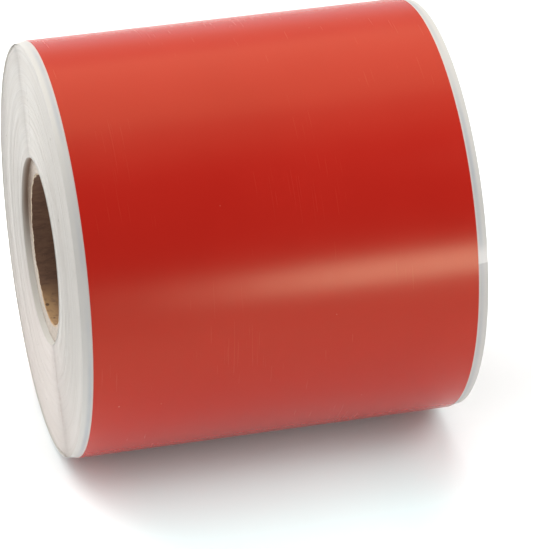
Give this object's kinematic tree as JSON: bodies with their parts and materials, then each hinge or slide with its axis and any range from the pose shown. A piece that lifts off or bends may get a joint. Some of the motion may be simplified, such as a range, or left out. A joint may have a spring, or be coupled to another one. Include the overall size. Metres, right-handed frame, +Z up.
{
  "type": "roll of sign vinyl",
  "caption": "Roll of red self-adhesive sign vinyl on a wider white release liner, wound on a paperboard core, with a free end that lifts and a film end that peels.",
  "frame": {"origin": "middle of the core bore, halfway along the roll", "axes": "+X along the roll, +Z up as the roll lies on its side; the web comes off over the top towards +Y"},
  "size_m": [0.107, 0.1114, 0.1113],
  "materials": {
    "core_inner_ply": "matte",
    "core_body_ply": "matte",
    "core_outer_ply": "matte",
    "starter_tape": "matte",
    "liner_paper": "satin",
    "wound_web": "matte",
    "red_vinyl": "satin",
    "closing_tab": "satin"
  },
  "bodies": {
    "roll": {"core_inner_ply": "core_inner_ply", "core_body_ply_1": "core_body_ply", "core_body_ply_2": "core_body_ply", "core_body_ply_3": "core_body_ply", "core_body_ply_4": "core_body_ply", "core_outer_ply": "core_outer_ply", "starter_tape": "starter_tape", "first_lap_liner": "liner_paper", "first_lap_vinyl": "red_vinyl", "wound_web": "wound_web", "outer_turn_liner": "liner_paper", "outer_turn_vinyl": "red_vinyl"},
    "tail_1": {"tail_liner_1": "liner_paper", "tail_vinyl_1": "red_vinyl"},
    "tail_2": {"tail_liner_2": "liner_paper", "tail_vinyl_2": "red_vinyl"},
    "tail_3": {"tail_liner_3": "liner_paper", "tail_vinyl_3": "red_vinyl"},
    "tail_end": {"tail_liner_end": "liner_paper", "tail_vinyl_end": "red_vinyl"},
    "peel_1": {"peel_vinyl_1": "red_vinyl"},
    "peel_2": {"peel_vinyl_2": "red_vinyl"},
    "peel_3": {"peel_vinyl_3": "red_vinyl"},
    "peel_4": {"peel_vinyl_4": "red_vinyl", "closing_tab": "closing_tab"}
  },
  "joints": [
    {"name": "tail_lift", "type": "hinge", "parent": "roll", "child": "tail_1", "pos_m": [0, 0.03117, 0.04622], "axis": [1, 0, 0], "range_deg": [0, 25]},
    {"name": "tail_bend_2", "type": "hinge", "parent": "tail_1", "child": "tail_2", "pos_m": [0, 0.03802, 0.04077], "axis": [1, 0, 0], "range_deg": [0, 25]},
    {"name": "tail_bend_3", "type": "hinge", "parent": "tail_2", "child": "tail_3", "pos_m": [0, 0.04393, 0.03432], "axis": [1, 0, 0], "range_deg": [0, 25]},
    {"name": "tail_bend_4", "type": "hinge", "parent": "tail_3", "child": "tail_end", "pos_m": [0, 0.04876, 0.02703], "axis": [1, 0, 0], "range_deg": [0, 25]},
    {"name": "film_peel", "type": "hinge", "parent": "tail_end", "child": "peel_1", "pos_m": [0, 0.05205, 0.01998], "axis": [1, 0, 0], "range_deg": [0, 30]},
    {"name": "peel_bend_2", "type": "hinge", "parent": "peel_1", "child": "peel_2", "pos_m": [0, 0.05359, 0.01537], "axis": [1, 0, 0], "range_deg": [0, 30]},
    {"name": "peel_bend_3", "type": "hinge", "parent": "peel_2", "child": "peel_3", "pos_m": [0, 0.05473, 0.01064], "axis": [1, 0, 0], "range_deg": [0, 30]},
    {"name": "peel_bend_4", "type": "hinge", "parent": "peel_3", "child": "peel_4", "pos_m": [0, 0.05544, 0.00583], "axis": [1, 0, 0], "range_deg": [0, 30]}
  ]
}
